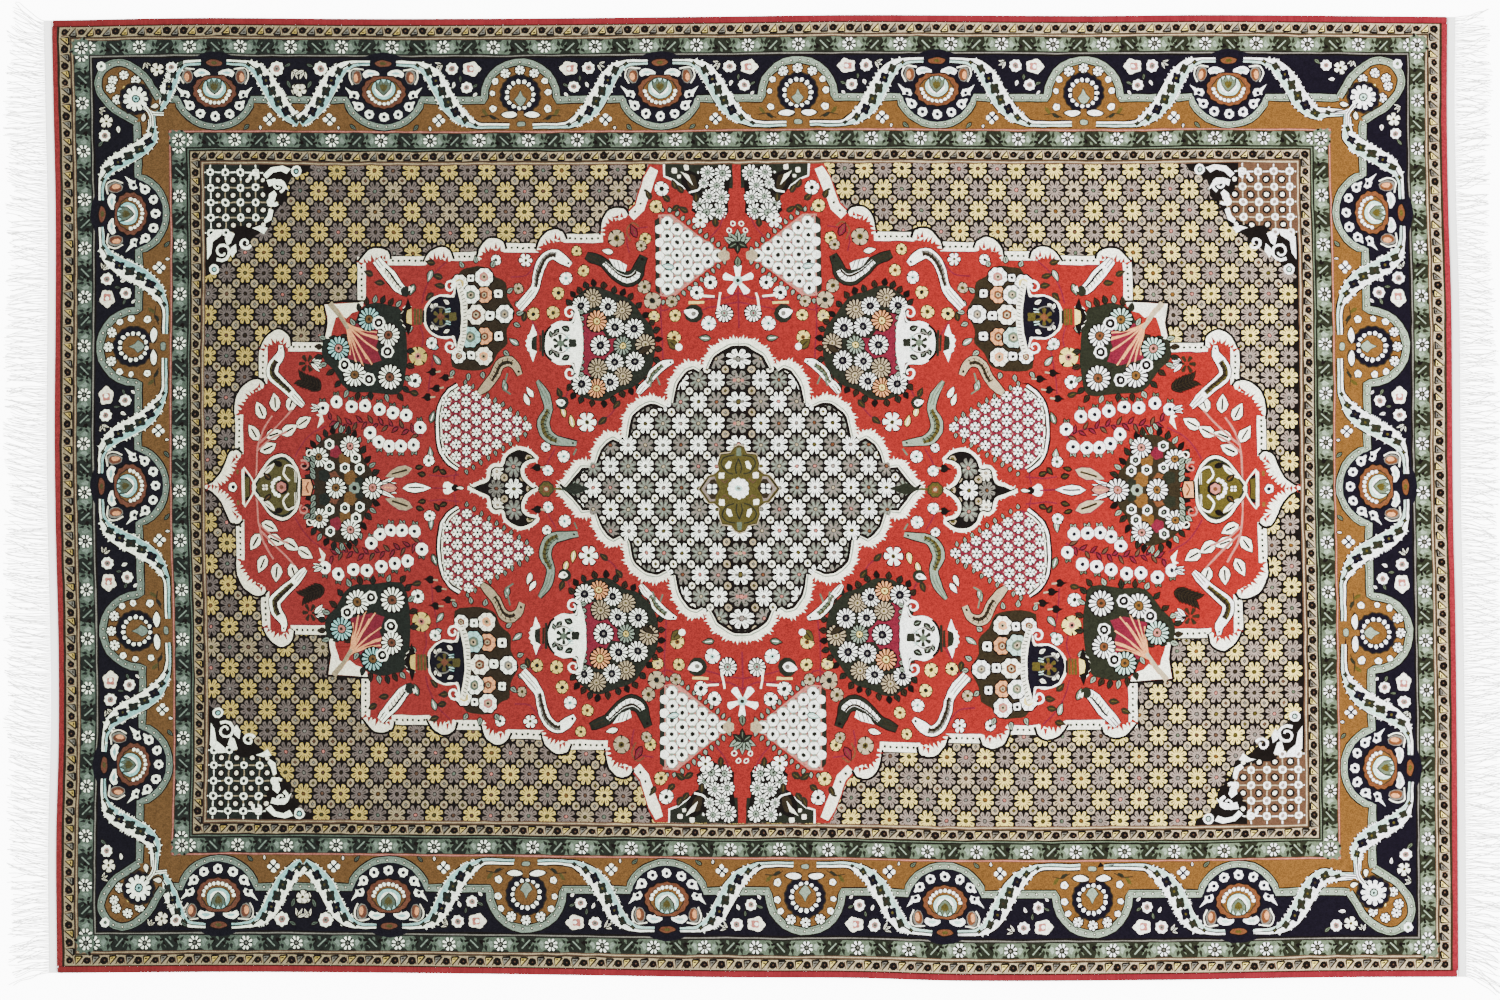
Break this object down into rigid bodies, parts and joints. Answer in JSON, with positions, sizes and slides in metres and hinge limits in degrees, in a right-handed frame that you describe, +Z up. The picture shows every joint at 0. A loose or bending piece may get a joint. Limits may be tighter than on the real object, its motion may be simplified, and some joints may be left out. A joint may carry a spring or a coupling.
{
  "type": "persian rug",
  "caption": "Hand-knotted rectangular rug with overcast side cords, flat-woven end webs and a fringe at each end, to lie flat on a floor.",
  "frame": {"origin": "centre of the rug's box, on the floor it lies on", "axes": "+X along the warps from the left fringe to the right fringe, +Y across the rug to its far side cord, +Z up out of the pile"},
  "size_m": [1.655, 1.0932, 0.0048],
  "materials": {
    "pile": "short silk pile in many colours, red, ivory, navy, gold and grey",
    "side_cord": "red yarn overcast round the edge",
    "warp_cotton": "white warp ends, flat-woven and then loose"
  },
  "bodies": {
    "root": {"rug_body": "pile", "side_cord_far": "side_cord", "side_cord_near": "side_cord", "end_web_left": "warp_cotton", "end_web_right": "warp_cotton", "fringe_left": "warp_cotton", "fringe_right": "warp_cotton"}
  },
  "joints": []
}
